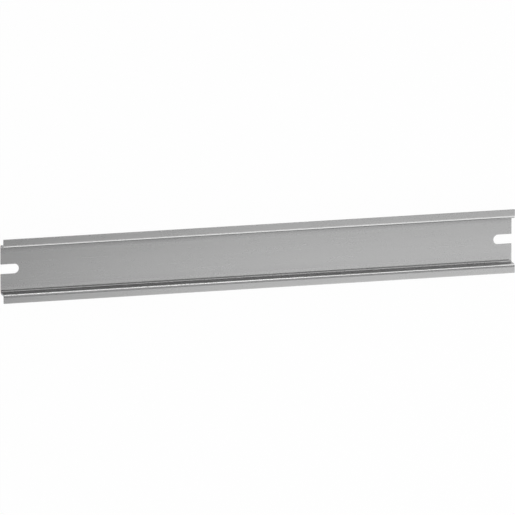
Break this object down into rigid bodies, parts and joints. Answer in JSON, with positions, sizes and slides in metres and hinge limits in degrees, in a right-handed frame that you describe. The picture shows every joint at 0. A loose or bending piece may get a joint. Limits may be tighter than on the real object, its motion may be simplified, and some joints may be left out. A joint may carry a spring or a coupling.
{
  "type": "din rail",
  "caption": "Straight steel top-hat mounting rail with an open-ended fixing slot at each end; devices clip over its two flanges and slide along them.",
  "frame": {"origin": "middle of the web's back face, which lies on the mounting panel, so also the bottom centre of the rail as it lies on a floor", "axes": "+X along the rail, +Y across it from one flange to the other, +Z out of the mounting panel towards the flanges' front faces"},
  "size_m": [0.285, 0.035, 0.0075],
  "materials": {
    "zinc_plated_steel": "satin zinc plating on cold-rolled strip"
  },
  "bodies": {
    "root": {"rail": "zinc_plated_steel"}
  },
  "joints": []
}
